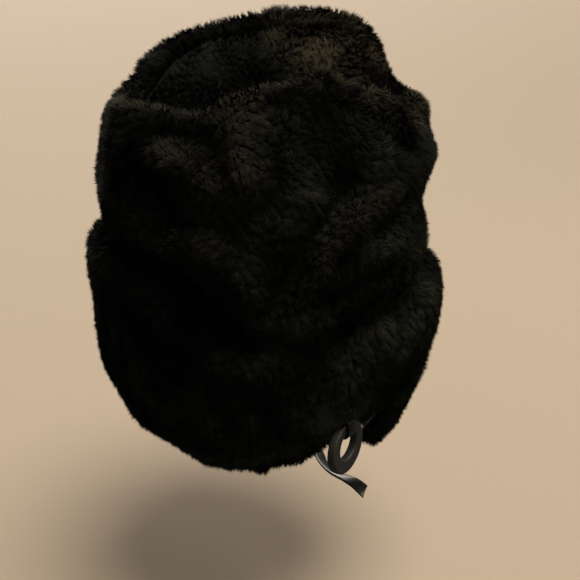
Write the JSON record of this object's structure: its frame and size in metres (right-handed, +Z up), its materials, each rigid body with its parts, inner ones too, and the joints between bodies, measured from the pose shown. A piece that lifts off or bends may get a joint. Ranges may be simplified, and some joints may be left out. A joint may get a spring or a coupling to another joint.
{
  "type": "bomber hat",
  "caption": "Fur bomber hat with a dished slouching crown, nape and ear flaps, a turned-up peak, and a leather chin strap with a ring.",
  "frame": {"origin": "middle of the head opening at the height of the brow, where the hat sits on a head", "axes": "+Z up, +X the wearer's right, +Y the face side, -Y the nape"},
  "size_m": [0.2664, 0.266, 0.3616],
  "materials": {
    "fur": "sheared sheepskin pile, dyed black",
    "leather": "smooth glossy black strap leather",
    "ring": "black plastic with a soft sheen"
  },
  "bodies": {
    "root": {"crown_side": "fur", "crown_top": "fur", "nape_flap": "fur", "ear_flap_left": "fur", "ear_flap_right": "fur", "front_peak": "fur", "ring_tab": "leather", "strap_ring": "ring", "chin_strap": "leather"}
  },
  "joints": []
}
